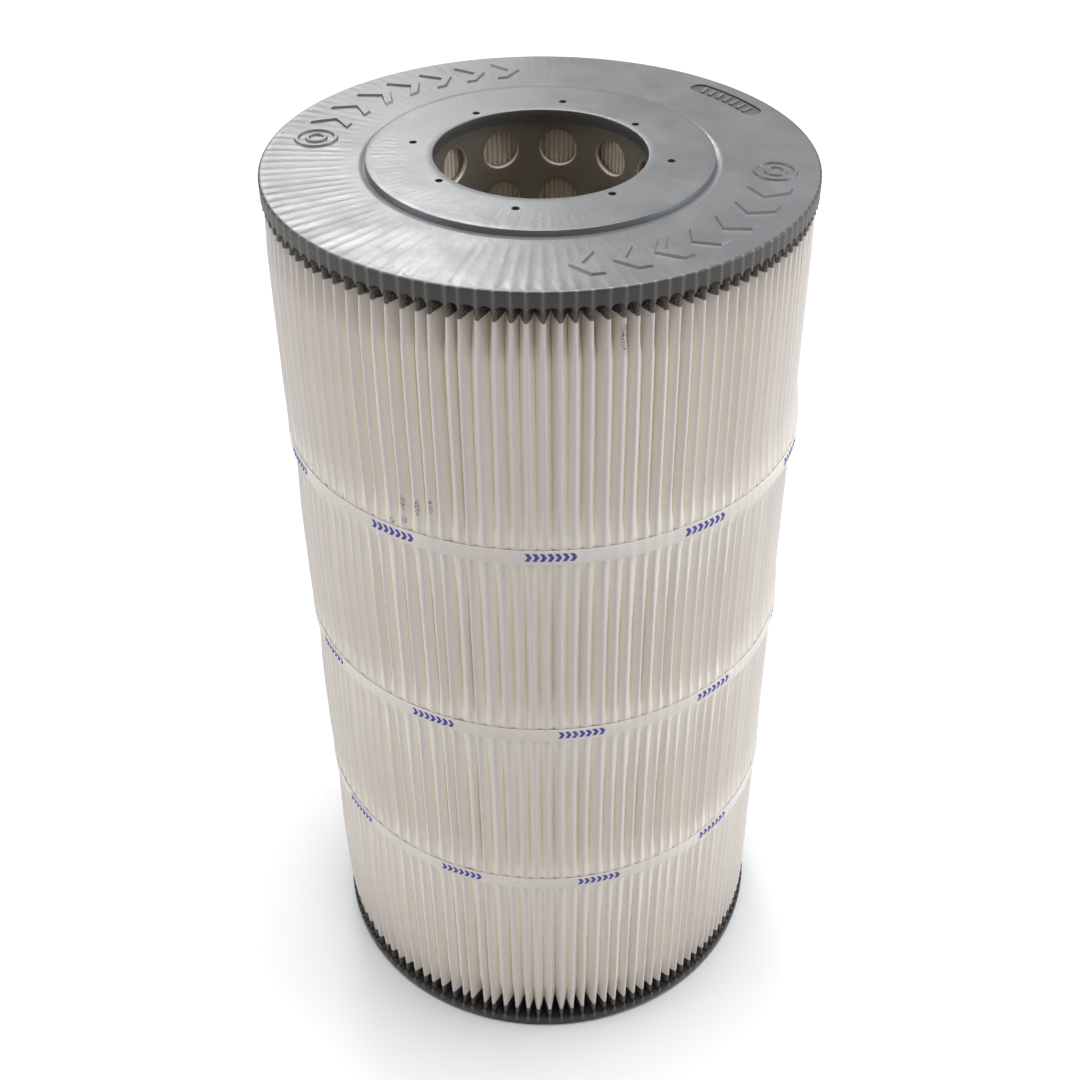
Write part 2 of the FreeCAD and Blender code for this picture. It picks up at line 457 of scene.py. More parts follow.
def cap_ripple(radius, from_tip, angle, strength):
    """How deep the casting has sunk between the pleats' ends, at a place on its face."""
    strongest = (0.5 + 0.5 * np.cos(angle - RIPPLE_SIDE)) ** 3
    wavy = strength * (RIPPLE_LEAST + RIPPLE_MORE * strongest)
    sunk = wavy * MM * smoothstep(0, 0.36, from_tip)
    outer = smoothstep(84 * MM, 96 * MM, radius) * smoothstep(127.5 * MM, 124 * MM, radius)
    inner = 0.35 * smoothstep(58 * MM, 66 * MM, radius) * smoothstep(79.5 * MM, 75 * MM, radius)
    # towards the rim the sunk stripe widens, as the valley under it does
    opened = np.clip((radius - (MEDIA_RADIUS - CAP_VALLEY)) / CAP_VALLEY, 0, 1)
    notch = smoothstep(0.5 - 0.45 * opened, 0.6 - 0.45 * opened, from_tip)
    rim = smoothstep(CAP_RADIUS, CAP_RADIUS - 2.5 * MM, radius)
    slow = 0.02 * MM * (1 + np.sin(angle * 37 + 1.3) * np.sin(angle * 11 + 0.4))
    return sunk * (outer + inner) + slow * inner + 1.5 * wavy * MM * notch * opened * rim


def make_cap(name, face, up, rim_height, bore_wall):
    """A cast cap. face is the height of its raised face and up is the way that face looks."""
    angles, phase = cap_columns()
    from_tip = 0.5 - abs(phase - 0.5)
    strength = np.repeat(rng.uniform(0.5, 1.4, PLEATS), COLUMNS_PER_PLEAT)
    section = cap_section(rim_height, bore_wall)
    radius = np.repeat(section[:, :1], len(angles), 1)
    depth = np.repeat(section[:, 1:], len(angles), 1)
    top_side = depth < RAISED_HEIGHT + 1e-6
    depth = depth + np.where(top_side, cap_ripple(radius, from_tip, angles, strength), 0)
    arch = 1 - np.sqrt(1 - (1 - 2 * from_tip) ** 2)
    outside = smoothstep(112 * MM, 124 * MM, radius)
    low = smoothstep(RAISED_HEIGHT + rim_height * 0.5, RAISED_HEIGHT + rim_height, depth)
    depth = depth + ARCH_HEIGHT * arch * outside * low
    wall = smoothstep(CAP_RADIUS - 1.3 * MM, CAP_RADIUS - 0.5 * MM, radius)
    mouth = smoothstep(BORE_RADIUS + 0.5 * MM, BORE_RADIUS + 0.2 * MM, radius)
    inward = (depth > RAISED_HEIGHT + 1.4 * MM) & (radius > CORE_OUTER)
    at_tip = np.exp(-(from_tip / 0.1) ** 2)
    radius = radius + wall * TIP_RIDGE * at_tip
    points = cylindrical(radius, angles, face - up * depth)
    faces = grid_faces(len(section), len(angles), wrap_rows=True, wrap_columns=True)
    cap = new_object(name, points, faces if up < 0 else flipped(faces), CAP_SHARP)
    # The wall attribute makes the rim, the underside and the bore lining rougher, and it carries
    # their painted shade.
    set_attribute(cap, "wall", np.maximum(np.maximum(wall, inward), 0.6 * mouth))
    set_attribute(cap, "crest", wall * at_tip)
    return cap


def pin_tools(face, up):
    """Cutters for the blind marks of the mould's pins."""
    tools = []
    for radius, first in PIN_RINGS:
        for pin in range(PINS_PER_RING):
            turn = math.radians(first + 360 / PINS_PER_RING * pin)
            centre = (radius * math.cos(turn), radius * math.sin(turn))
            tools.append(disc(centre, PIN_RADIUS, face - up * PIN_DEPTH, face + up * PIN_DEPTH))
    return tools


def disc(centre, radius, low, high):
    """A closed disc between two heights."""
    turns = np.linspace(0, TURN, 24, endpoint=False)
    across, along = centre[0] + radius * np.cos(turns), centre[1] + radius * np.sin(turns)
    return prism(np.column_stack([across, along]), low, high)


def prism(outline, low, high):
    """A closed prism from a plan outline, between two heights in either order."""
    return tapered(outline, outline, *sorted((low, high)))


def tapered(low_outline, high_outline, low, high):
    """A closed block between two plan outlines of the same number of points."""
    count = len(low_outline)
    ends = ((low_outline, low), (high_outline, high))
    points = np.concatenate([np.column_stack([outline, np.full(count, z)]) for outline, z in ends])
    faces = grid_faces(2, count, wrap_columns=True)
    faces += [list(range(count))[::-1], list(range(count, 2 * count))]
    return new_object("block", points, flipped(faces) if high < low else faces, sharp=30)


# ---- relief on the caps -------------------------------------------------------------------
RELIEF_INNER = 97 * MM
RELIEF_OUTER = 117 * MM
RELIEF_HEIGHT = 1.0 * MM
RELIEF_ROOT = 0.3 * MM          # how far it runs down into the cap
RELIEF_SLOPE = 0.75 * MM        # how far its sides lean in
RELIEF_ROWS = ((-3, -82), (175, 98))    # angles of each row's two ends, in degrees
CHEVRONS = 7
CHEVRON_STROKE = 6.6 * MM
CHEVRON_LEAN = 7.5 * MM
BOSS_RINGS = (9.2 * MM, 4.2 * MM)
BOSS_STROKE = 2.6 * MM


def chevron(turn, inset):
    """Plan outline of one raised chevron that points round the cap, drawn in by an inset."""
    inner, outer = RELIEF_INNER + inset, RELIEF_OUTER - inset
    middle = (RELIEF_INNER + RELIEF_OUTER) / 2
    near, far = inset * 1.3, CHEVRON_STROKE - inset * 1.3
    corners = [(inner, near), (middle, near + CHEVRON_LEAN), (outer, near),
               (outer, far), (middle, far + CHEVRON_LEAN), (inner, far)]
    return np.array([cylindrical(r, turn - along / middle, 0)[:2] for r, along in corners])


def raised_ring(turn, radius, level, up):
    """A raised ring on the cap's face, in the middle of the relief's band."""
    centre = cylindrical((RELIEF_INNER + RELIEF_OUTER) / 2, turn, level)
    half = BOSS_STROKE / 2
    profile = [(-half, -RELIEF_ROOT), (RELIEF_SLOPE - half, RELIEF_HEIGHT),
               (half - RELIEF_SLOPE, RELIEF_HEIGHT), (half, -RELIEF_ROOT)]
    turns = np.linspace(0, TURN, 40, endpoint=False)
    rows = np.stack([cylindrical(radius + across, turns, up * rise) for across, rise in profile])
    faces = grid_faces(len(profile), len(turns), wrap_rows=True, wrap_columns=True)
    return new_object("ring", rows + centre, faces if up < 0 else flipped(faces), sharp=30)


def row_of_relief(face, up, start, end):
    """A boss of two rings and a row of chevrons, along an arc of the cap."""
    level = face - up * RAISED_HEIGHT
    boss = math.radians(start - 5)
    pieces = [raised_ring(boss, radius, level, up) for radius in BOSS_RINGS]
    for turn in np.radians(np.linspace(start - 13, end + 6.5, CHEVRONS)):
        pieces.append(tapered(chevron(turn, 0), chevron(turn, RELIEF_SLOPE),
                              level - up * RELIEF_ROOT, level + up * RELIEF_HEIGHT))
    return pieces


POCKET_INNER = 110 * MM
POCKET_OUTER = 120.5 * MM
POCKET_DEPTH = 0.9 * MM
POCKET_ENDS = (29, 47)          # degrees
BARS = 7
BAR_INNER = 112 * MM
BAR_OUTER = 118.5 * MM
BAR_WIDTH = math.radians(0.9)   # each bar also leans by its width
BAR_HEIGHT = 0.75 * MM


def pocket_outline():
    """Plan outline of the shallow pocket: an arc with round ends."""
    middle, half = (POCKET_INNER + POCKET_OUTER) / 2, (POCKET_OUTER - POCKET_INNER) / 2
    first, last = np.radians(POCKET_ENDS)
    outer = cylindrical(POCKET_OUTER, np.linspace(first, last, 16), 0)
    inner = cylindrical(POCKET_INNER, np.linspace(last, first, 16), 0)
    bends = np.radians(np.linspace(15, 165, 11))
    end = cylindrical(middle, last, 0) + cylindrical(half, last + bends, 0)
    start = cylindrical(middle, first, 0) + cylindrical(half, first + math.pi + bends, 0)
    return np.concatenate([outer, end, inner, start])[:, :2]


def pocket_bars(floor, up):
    """The slanted bars that stand on the pocket's floor."""
    bars = []
    for turn in np.radians(np.linspace(POCKET_ENDS[0] + 0.5, POCKET_ENDS[1] - 2, BARS)):
        corners = [(BAR_INNER, turn), (BAR_OUTER, turn + BAR_WIDTH),
                   (BAR_OUTER, turn + 2 * BAR_WIDTH), (BAR_INNER, turn + BAR_WIDTH)]
        outline = [cylindrical(r, t, 0)[:2] for r, t in corners]
        bars.append(prism(outline, floor - up * RELIEF_ROOT, floor + up * BAR_HEIGHT))
    return bars


def finish_cap(cap, face, up):
    """Cuts the pin marks and the pocket, and adds the relief."""
    level = face - up * RAISED_HEIGHT
    floor = level - up * POCKET_DEPTH
    cut_away(cap, pin_tools(face, up) + [prism(pocket_outline(), floor, level + up * 2 * MM)])
    relief = []
    for start, end in RELIEF_ROWS:
        relief += row_of_relief(face, up, start, end)
    join(cap, relief + pocket_bars(floor, up))
    cap.data.set_sharp_from_angle(angle=math.radians(CAP_SHARP))


# ---- core ---------------------------------------------------------------------------------
CELL_STEPS = 8                  # points along each side of a cell
HOLE_EDGE = 0.6 * MM            # rounding of a hole's two edges
INNER_SLOPES = (0, 30, 60, 90)  # degrees, from the tube's inner wall into the hole
OUTER_SLOPES = (90, 45, 0)
# These rings are painted paler as a glint on the holes' rounded edges.
GLINT_RINGS = slice(3, 6)         # the paler rings of points, at 30 to 90 degrees


def cell_rings(width, height):
    """One hole's rings of (angle offset, height offset, radius), from the inner wall outwards."""
    step = np.arange(CELL_STEPS) / CELL_STEPS
    side = np.full(CELL_STEPS, 0.5)
    square = np.concatenate([
        np.column_stack([side, step - 0.5]),
        np.column_stack([0.5 - step, side]),
        np.column_stack([-side, 0.5 - step]),
        np.column_stack([step - 0.5, -side]),
    ]) * (width, height)
    turn = np.arctan2(square[:, 1], square[:, 0] * (CORE_INNER + CORE_OUTER) / 2)

    def ring(hole, radius):
        across, up = np.arcsin(hole * np.cos(turn) / radius), hole * np.sin(turn)
        return np.column_stack([across, up, np.full(len(turn), radius)])

    def wall(radius):
        return np.column_stack([square, np.full(len(turn), radius)])

    halfway = wall(CORE_INNER) * 0.4 + ring(HOLE_RADIUS + HOLE_EDGE, CORE_INNER) * 0.6
    rings = [wall(CORE_INNER), halfway]
    turns = [(slope, CORE_INNER, HOLE_EDGE) for slope in np.radians(INNER_SLOPES)]
    turns += [(slope, CORE_OUTER, -HOLE_EDGE) for slope in np.radians(OUTER_SLOPES)]
    for slope, surface, inward in turns:
        hole = HOLE_RADIUS + HOLE_EDGE * (1 - math.sin(slope))
        rings.append(ring(hole, surface + inward * (1 - math.cos(slope))))
    rings.append(wall(CORE_OUTER))
    return np.stack(rings)


def make_core():
    """The tube, cell by cell: each cell is the wall around one hole."""
    last_row = CORE[0][2] + CORE[1][2] - FIRST_ROW
    pitch = (last_row - FIRST_ROW) / (HOLE_ROWS - 1)
    width = TURN / HOLES_PER_ROW
    rings = cell_rings(width, pitch)
    count = rings.shape[1]
    points, faces = [], []
    for row in range(HOLE_ROWS):
        for hole in range(HOLES_PER_ROW):
            first = len(points) * len(rings) * count
            angle = FIRST_HOLE + hole * width + rings[..., 0]
            height = FIRST_ROW + row * pitch + rings[..., 1]
            points.append(cylindrical(rings[..., 2], angle, height))
            faces += flipped(grid_faces(len(rings), count, first, wrap_columns=True))
    points = np.stack(points).reshape(-1, 3)
    columns = CELL_STEPS * HOLES_PER_ROW
    turns = FIRST_HOLE - width / 2 + np.arange(columns) * TURN / columns
    for edge, end in ((FIRST_ROW - pitch / 2, CORE[0][2]), (last_row + pitch / 2, CORE[1][2])):
        loop = [(CORE_INNER, edge), (CORE_INNER, end), (CORE_OUTER, end), (CORE_OUTER, edge)]
        strip = np.stack([cylindrical(r, turns, z) for r, z in loop])
        quads = grid_faces(4, columns, len(points), wrap_columns=True)
        faces += quads if end > edge else flipped(quads)
        points = np.concatenate([points, strip.reshape(-1, 3)])
    core = new_object("perforated_core", points, faces, sharp=None)
    # The rim attribute marks the rings that are painted paler as a glint.
    rim = np.zeros(len(points))
    in_cells = rim[:HOLE_ROWS * HOLES_PER_ROW * len(rings) * count]
    in_cells.reshape(-1, len(rings), count)[:, GLINT_RINGS] = 1
    set_attribute(core, "rim", rim)
    work = bmesh.new()
    work.from_mesh(core.data)
    bmesh.ops.remove_doubles(work, verts=work.verts, dist=0.01 * MM)
    work.to_mesh(core.data)
    work.free()
    core.data.set_sharp_from_angle(angle=math.radians(50))
    return core


# ---- straps -------------------------------------------------------------------------------
STRAP_COLUMNS = 8               # rows of points to each pleat
STRAP_THICKNESS = 0.45 * MM
STRAP_GAP = 0.02 * MM           # from the frame's outer radius to the strap's inner side
STRAP_SAG = 0.16 * MM           # between two tips
STRAP_SHARES = (0, 0.12, 0.5, 0.88, 1.0)        # the section's points, in shares of its width
STRAP_EDGE = (0.12, 0.0, 0.0, 0.0, 0.12)        # how far they are rounded off, in mm
EDGE_WAVE = 0.12 * MM           # how far its edges wander up and down
EDGE_WAVES = (1, 2, 3, 5)       # in thirds of the number of waves round the cartridge
WELD_ANGLE = {"upper_band": 74, "middle_band": 106, "lower_band": 60}
WELD_LENGTH = 18 * MM
WELD_GAP = 0.03 * MM

# the printed marks: the angle of one mark's middle in degrees, and the sizes of its chevrons
PRINT_START = {"upper_band": -87.2, "middle_band": -80.5, "lower_band": -75.8}
PRINT_PITCH = 76.5 * MM         # from one mark to the next
PRINT_RISE = 0.3 * MM           # above the strap's middle
PRINT_CHEVRONS = 7
PRINT_STEP = 3.4 * MM
PRINT_STROKE = 1.95 * MM
PRINT_LEAN = 1.4 * MM
PRINT_HEIGHT = 4.5 * MM
INK_FILM = (0.05 * MM, -0.04 * MM)      # its front over the strap and its back sunk into it
INK_ROWS, INK_COLUMNS = 3, 5            # points of each side of one arm of a chevron


def strap_radius(name, angle, z):
    """Radius of the strap's inner side: it rests on the folds and sags a little between them."""
    tips = tip_angles(band_middle(name))
    past_seam = np.mod(angle - tips[0], TURN)
    pleat = np.interp(past_seam, np.append(tips - tips[0], TURN), np.arange(PLEATS + 1))
    sag = STRAP_SAG * np.sin(np.pi * np.mod(pleat, 1)) ** 2
    return MEDIA_RADIUS + STRAP_GAP - sag + swell(z, angle)


def make_strap(name, seed):
    """A strap wound once around the folds, with its last end lapped over its first."""
    low, high = BANDS[name][0][2], BANDS[name][1][2]
    weld = math.radians(WELD_ANGLE[name])
    spread = WELD_LENGTH / 2 / MEDIA_RADIUS
    count = PLEATS * STRAP_COLUMNS
    angle = np.linspace(weld - spread, weld + spread + TURN, count)
    lap = smoothstep(weld - 1.6 * spread + TURN, weld - spread + TURN, angle)
    lift = lap * (STRAP_THICKNESS + WELD_GAP)
    noise = np.random.default_rng(seed)
    edge = 0
    for k in EDGE_WAVES:
        wave = noise.normal(0, EDGE_WAVE / k)
        edge = edge + wave * np.sin(k * 3 * angle + noise.uniform(0, TURN))
    dips = np.array(STRAP_EDGE) * MM
    section = [(part, STRAP_THICKNESS, -dip) for part, dip in zip(STRAP_SHARES, dips)]
    section += [(part, 0, dip) for part, dip in zip(STRAP_SHARES[::-1], dips)]
    rows = []
    for part, thick, dip in section:
        z = low + (high - low) * part + edge
        rows.append(cylindrical(strap_radius(name, angle, z) + lift + thick + dip, angle, z))
    points = np.stack(rows, 1)
    loop = points.shape[1]
    faces = flipped(grid_faces(count, loop, wrap_columns=True))
    faces += [list(range(loop)), list(range((count - 1) * loop, count * loop))[::-1]]
    return new_object(name + "_strap", points, faces, sharp=60)


def print_starts(name):
    """How far along the strap each chevron starts. There are no marks on or beside the weld."""
    half = int(TURN * MEDIA_RADIUS / PRINT_PITCH) // 2
    weld = math.radians(WELD_ANGLE[name] - PRINT_START[name])
    weld = np.mod(weld + math.pi, TURN) - math.pi
    clear = WELD_LENGTH + 4 * PRINT_STEP
    marks = [mark * PRINT_PITCH for mark in range(-half, half)]
    return [mark + (chevron - PRINT_CHEVRONS / 2) * PRINT_STEP
            for mark in marks if abs(mark - weld * MEDIA_RADIUS) > clear
            for chevron in range(PRINT_CHEVRONS)]


def film_faces():
    """Faces of a closed film: a front grid of points, a back one and a rim between the two."""
    count = INK_ROWS * INK_COLUMNS
    grid = np.arange(count).reshape(INK_ROWS, INK_COLUMNS)
    loop = [*grid[0], *grid[1:, -1], *grid[-1, -2::-1], *grid[-2:0:-1, 0]]
    rim = [[b, a, a + count, b + count] for a, b in zip(loop, loop[1:] + loop[:1])]
    back = flipped(grid_faces(INK_ROWS, INK_COLUMNS, count))
    return np.array(grid_faces(INK_ROWS, INK_COLUMNS) + back + rim)


def make_print(name):
    """The strap's printed marks: rows of chevrons, as thin films of ink that follow the strap."""
    middle = band_middle(name) + PRINT_RISE
    first = math.radians(PRINT_START[name])
    across, up = np.meshgrid(np.linspace(0, 1, INK_COLUMNS), np.linspace(0, 1, INK_ROWS))
    arm = film_faces()
    points, faces = [], []
    for start in print_starts(name):
        for foot, lean in ((-0.5, up), (0, 1 - up)):
            angle = first + (start + lean * PRINT_LEAN + across * PRINT_STROKE) / MEDIA_RADIUS
            z = middle + (foot + up / 2) * PRINT_HEIGHT
            radius = strap_radius(name, angle, z) + STRAP_THICKNESS
            faces += (arm + len(points) * across.size).tolist()
            points += [cylindrical(radius + lift, angle, z).reshape(-1, 3) for lift in INK_FILM]
    return new_object(name + "_print", np.concatenate(points), faces, sharp=30)


# ---- materials ----------------------------------------------------------------------------
class Nodes:
    """A material's node tree, with one short call for each kind of node."""

    SOCKETS = {"colour": "Base Color", "roughness": "Roughness", "normal": "Normal",
               "specular": "Specular IOR Level", "sheen": "Sheen Weight"}

    def __init__(self, name):
        self.material = bpy.data.materials.new(name)
        self.material.use_nodes = True
        self.tree = self.material.node_tree
        self.shader = self.tree.nodes["Principled BSDF"]
        self.place = self.add("ShaderNodeTexCoord").outputs["Object"]

    def add(self, kind, inputs=None, **settings):
        node = self.tree.nodes.new(kind)
        for key, value in settings.items():
            setattr(node, key, value)
        for key, value in (inputs or {}).items():
            self.feed(node.inputs[key], value)
        return node

    def feed(self, socket, value):
        if isinstance(value, bpy.types.NodeSocket):
            self.tree.links.new(value, socket)
        else:
            socket.default_value = value

    def noise(self, scale, detail=3.0, roughness=0.5, stretch=None):
        """Noise with so many waves to the metre. A stretch below 1 draws it out that way."""
        place = self.place
        if stretch:
            place = self.add("ShaderNodeMapping", {"Vector": place, "Scale": stretch}).outputs[0]
        inputs = {"Vector": place, "Scale": scale, "Detail": detail, "Roughness": roughness}
        return self.add("ShaderNodeTexNoise", inputs).outputs["Fac"]

    def spread(self, value, low, high, to_low=0.0, to_high=1.0, smooth=True):
        """A value's range between low and high, mapped to another range and held to it."""
        kind = "SMOOTHSTEP" if smooth else "LINEAR"
        inputs = {"Value": value, "From Min": low, "From Max": high,
                  "To Min": to_low, "To Max": to_high}
        return self.add("ShaderNodeMapRange", inputs, interpolation_type=kind).outputs["Result"]

    def maths(self, operation, a, b=0.0):
        return self.add("ShaderNodeMath", {0: a, 1: b}, operation=operation).outputs[0]

    def vector(self, operation, *inputs):
        return self.add("ShaderNodeVectorMath", dict(enumerate(inputs)), operation=operation)

    def blend(self, factor, a, b):
        """Colour a where the factor is 0, and b where it is 1."""
        node = self.add("ShaderNodeMix", data_type="RGBA")
        self.feed(node.inputs[0], factor)
        self.feed(node.inputs[6], a)
        self.feed(node.inputs[7], b)
        return node.outputs[2]

    def attribute(self, name):
        return self.add("ShaderNodeAttribute", attribute_name=name).outputs["Fac"]

    def height(self):
        return self.add("ShaderNodeSeparateXYZ", {0: self.place}).outputs["Z"]

    def radius(self):
        """Distance from the cartridge's axis."""
        flat = self.vector("MULTIPLY", self.place, (1, 1, 0)).outputs[0]
        return self.vector("LENGTH", flat).outputs["Value"]

    def bump(self, value, distance, strength=1.0, under=None):
        inputs = {"Height": value, "Distance": distance, "Strength": strength}
        if under:
            inputs["Normal"] = under
        return self.add("ShaderNodeBump", inputs).outputs["Normal"]

    def finish(self, **inputs):
        for key, value in inputs.items():
            self.feed(self.shader.inputs[self.SOCKETS[key]], value)
        return self.material


def rgb(red, green, blue):
    """A colour given as sRGB values from 0 to 255, in the renderer's linear values."""
    return tuple((value / 255) ** 2.2 for value in (red, green, blue)) + (1.0,)


def cast_urethane():
    """Grey casting: rougher on the rim, whose colour is also painted darker and warmer as shade,
    darkest on the bottom cap; the pleats' tips show through the rim.
    """
    nodes = Nodes("cast_urethane")
    cloudy = nodes.noise(22, 4)
    wall = nodes.attribute("wall")
    colour = nodes.blend(nodes.spread(cloudy, 0.35, 0.7), rgb(77, 78, 79), rgb(85, 86, 87))
    # Painted shade: where the wall attribute is set (rim, underside and bore lining) the colour is
    # made darker and warmer than the face, and darker still low on the bottom cap.
    bottom_shade = nodes.spread(nodes.height(), LOWER_POTTING, 2 * LOWER_POTTING, 1, 0)
    side = nodes.blend(bottom_shade, rgb(56, 53, 50), rgb(38, 35, 33))
    colour = nodes.blend(wall, colour, side)
    crest = nodes.maths("MULTIPLY", nodes.attribute("crest"), 0.3)
    colour = nodes.blend(crest, colour, rgb(150, 145, 138))
    speck = nodes.spread(nodes.noise(1500, 1), 0.72, 0.78)
    colour = nodes.blend(nodes.maths("MULTIPLY", speck, 0.3), colour, rgb(150, 150, 150))
    rough = nodes.spread(nodes.noise(60, 5, 0.6), 0.3, 0.75, 0.29, 0.40)
    rough = nodes.maths("MAXIMUM", rough, nodes.maths("MULTIPLY", wall, 0.5))
    skin = nodes.bump(nodes.noise(420, 3), 0.06 * MM)
    skin = nodes.bump(nodes.noise(60, 3), 0.12 * MM, 0.5, skin)
    return nodes.finish(colour=colour, roughness=rough, normal=skin, specular=0.5)


SOAKED_HEIGHT = 8 * MM
SOAKED_FADE = 0.6 * MM


def soaked_zone(nodes, colour):
    """The ends of the cloth, dark where the casting has soaked up into it past the caps. The lower
    end is painted darker than the upper as shade, and the tips are painted paler as a highlight.
    """
    ragged = nodes.maths("MULTIPLY", nodes.maths("SUBTRACT", nodes.noise(500, 2), 0.5), 1.2 * MM)
    height = nodes.maths("ADD", nodes.height(), ragged)
    upper_end, lower_end = UPPER_POTTING - SOAKED_HEIGHT, LOWER_POTTING + SOAKED_HEIGHT
    top = nodes.spread(height, upper_end, upper_end + SOAKED_FADE)
    bottom = nodes.spread(height, lower_end, lower_end + SOAKED_FADE, 1, 0)
    outside = nodes.spread(nodes.radius(), MEDIA_RADIUS - 30 * MM, MEDIA_RADIUS - 20 * MM)
    # Painted highlight: the tips are made paler in the soaked ends.
    crest = nodes.spread(nodes.attribute("valley"), 0.02, 0.3, 0.55, 0)
    cells = {"Vector": nodes.place, "Scale": 900.0}
    weave = nodes.add("ShaderNodeTexVoronoi", cells, feature="F1").outputs["Distance"]
    upper = nodes.blend(nodes.spread(weave, 0.25, 0.6), rgb(116, 108, 101), rgb(62, 57, 53))
    upper = nodes.blend(crest, upper, rgb(122, 114, 106))
    # Painted shade: the lower end's colours are darker than the upper end's.
    lower = nodes.blend(nodes.spread(weave, 0.25, 0.6), rgb(56, 50, 46), rgb(34, 30, 28))
    lower = nodes.blend(crest, lower, rgb(122, 114, 106))
    colour = nodes.blend(nodes.maths("MULTIPLY", top, outside), colour, upper)
    return nodes.blend(nodes.maths("MULTIPLY", bottom, outside), colour, lower)


# rubbed marks on the cloth, as (angle in degrees, and height, width and length in mm, where the
# last two are half sizes). Each lies on the tip nearest to its angle.
SCUFFS = ((-119.4, 376, 2.0, 5.5), (-116.2, 376, 2.0, 6.5), (-113.2, 378, 1.7, 6.0),
          (-119.3, 366.5, 2.2, 3.0), (-122.6, 363.5, 2.0, 2.6), (-72, 467, 3.6, 9.0),
          (-55, 383, 1.4, 1.2))
SCUFF_SHIFT = 0.005             # radians, from a tip's middle to its edge


def scuffed(nodes, colour):
    """Dark stipple where the cloth has been rubbed."""
    marks = None
    for angle, height, width, length in SCUFFS:
        off = np.mod(TIPS - math.radians(angle) + math.pi, TURN) - math.pi
        nearest = TIPS[np.argmin(abs(off))] + SCUFF_SHIFT
        centre = cylindrical(MEDIA_RADIUS + 0.5 * MM, nearest, height * MM)
        reach = (1 / (width * MM), 1 / (width * MM), 1 / (length * MM))
        away = nodes.vector("SUBTRACT", nodes.place, tuple(centre)).outputs[0]
        away = nodes.vector("MULTIPLY", away, reach).outputs[0]
        mark = nodes.spread(nodes.vector("LENGTH", away).outputs["Value"], 0.5, 1.0, 1, 0)
        marks = mark if marks is None else nodes.maths("MAXIMUM", marks, mark)
    stipple = nodes.spread(nodes.noise(1300, 3, 0.7), 0.49, 0.57)
    return nodes.blend(nodes.maths("MULTIPLY", marks, stipple), colour, rgb(100, 93, 87))


def fibres_of(nodes):
    """Felted polyester: the fibres' pattern, and the surface it gives."""
    fibres = nodes.noise(2600, 2, 0.6, stretch=(1, 1, 0.35))
    skin = nodes.bump(fibres, 0.10 * MM)
    skin = nodes.bump(nodes.noise(300, 3, 0.55, stretch=(1, 1, 0.3)), 0.15 * MM, 0.5, skin)
    return fibres, skin


def filter_cloth():
    """The sheet's cloth, with painted light and shade by depth: greyer and darker on the tips,
    painted lighter and warmer down in the valleys.
    """
    nodes = Nodes("filter_cloth")
    patches = nodes.spread(nodes.noise(9, 3), 0.35, 0.68)
    # Painted light and shade: by the valley attribute the tips are made greyer and darker and the
    # valleys lighter and warmer, offsetting the shade that falls in the valleys and dimming the
    # tips' highlights.
    deep = nodes.blend(patches, rgb(231, 220, 201), rgb(235, 226, 208))
    valley = nodes.attribute("valley")
    off_tip = nodes.spread(valley, 0.0, 0.3, smooth=False)
    colour = nodes.blend(off_tip, rgb(207, 198, 192), rgb(218, 209, 201))
    colour = nodes.blend(nodes.spread(valley, 0.25, 1.0, smooth=False), colour, deep)
    fibres, skin = fibres_of(nodes)
    colour = nodes.blend(nodes.spread(fibres, 0.35, 0.75, 0, 0.12), colour, rgb(252, 249, 243))
    colour = soaked_zone(nodes, scuffed(nodes, colour))
    rough = nodes.spread(fibres, 0.3, 0.8, 0.82, 0.95)
    return nodes.finish(colour=colour, roughness=rough, normal=skin, specular=0.25, sheen=0.08)


def strap_cloth():
    """The straps' cloth: the sheet's, pressed smoother."""
    nodes = Nodes("strap_cloth")
    patches = nodes.spread(nodes.noise(30, 3), 0.35, 0.68)
    colour = nodes.blend(patches, rgb(212, 202, 195), rgb(219, 211, 204))
    fibres, skin = fibres_of(nodes)
    colour = nodes.blend(nodes.spread(fibres, 0.4, 0.75, 0, 0.3), colour, rgb(231, 225, 220))
    rough = nodes.spread(fibres, 0.3, 0.8, 0.6, 0.8)
    return nodes.finish(colour=colour, roughness=rough, normal=skin, specular=0.3, sheen=0.05)


def core_plastic():
    """Extruded plastic with fine drawn lines; the holes' rims are painted paler as a glint."""
    nodes = Nodes("core_plastic")
    cloudy = nodes.noise(18, 3)
    colour = nodes.blend(nodes.spread(cloudy, 0.3, 0.7), rgb(108, 100, 90), rgb(118, 110, 100))
    colour = nodes.blend(nodes.attribute("rim"), colour, rgb(190, 180, 164))
    drawn = nodes.noise(240, 3, 0.6, stretch=(1, 1, 0.02))
    rough = nodes.spread(drawn, 0.3, 0.7, 0.30, 0.42)
    skin = nodes.bump(drawn, 0.08 * MM)
    return nodes.finish(colour=colour, roughness=rough, normal=skin, specular=0.5)


def printed_ink():
    """Blue ink, printed unevenly on felted cloth."""
    nodes = Nodes("printed_ink")
    patchy = nodes.spread(nodes.noise(1400, 3, 0.7), 0.4, 0.62)
    colour = nodes.blend(patchy, rgb(62, 62, 140), rgb(104, 104, 172))
    return nodes.finish(colour=colour, roughness=0.8, specular=0.2)


def hot_melt():
    """The yellowish adhesive of the side seam."""
    nodes = Nodes("hot_melt")
    colour = nodes.blend(nodes.noise(120, 3), rgb(226, 214, 180), rgb(240, 230, 205))
    rough = nodes.spread(nodes.noise(300, 2), 0.3, 0.7, 0.35, 0.55)
    skin = nodes.bump(nodes.noise(500, 3), 0.2 * MM)
    return nodes.finish(colour=colour, roughness=rough, normal=skin)


def pale_floor():
    nodes = Nodes("pale_floor")
    colour = nodes.blend(nodes.noise(3, 2), rgb(184, 184, 184), rgb(187, 187, 187))
    return nodes.finish(colour=colour, roughness=0.9, specular=0.1)


